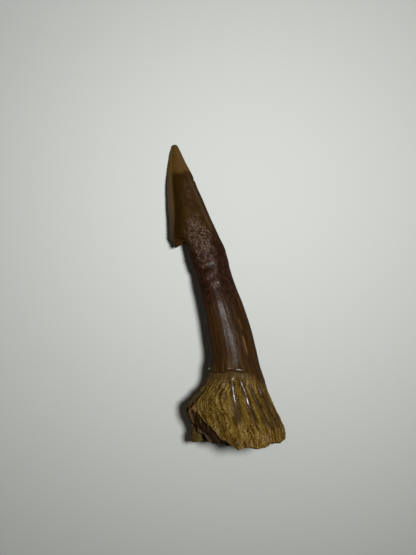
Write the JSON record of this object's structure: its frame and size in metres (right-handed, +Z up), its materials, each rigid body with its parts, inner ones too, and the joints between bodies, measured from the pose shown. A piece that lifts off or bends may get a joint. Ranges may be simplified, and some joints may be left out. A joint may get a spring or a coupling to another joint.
{
  "type": "fossil sawfish rostral tooth",
  "caption": "Fossil sawfish rostral tooth lying flat: a slender enamelled crown with a barbed blade on a flared, folded root with a hollow, broken base.",
  "frame": {"origin": "middle of the tooth's box in plan, on the surface that it lies on", "axes": "+X along the tooth from the root to the tip, +Y towards the back edge that carries the barb, +Z up"},
  "size_m": [0.05, 0.0148, 0.0091],
  "materials": {
    "tooth": "fossil enamel, dark brown and softly glossy, paling to amber at the tip, over a matt ochre root"
  },
  "bodies": {
    "root": {"rostral_tooth": "tooth"}
  },
  "joints": []
}
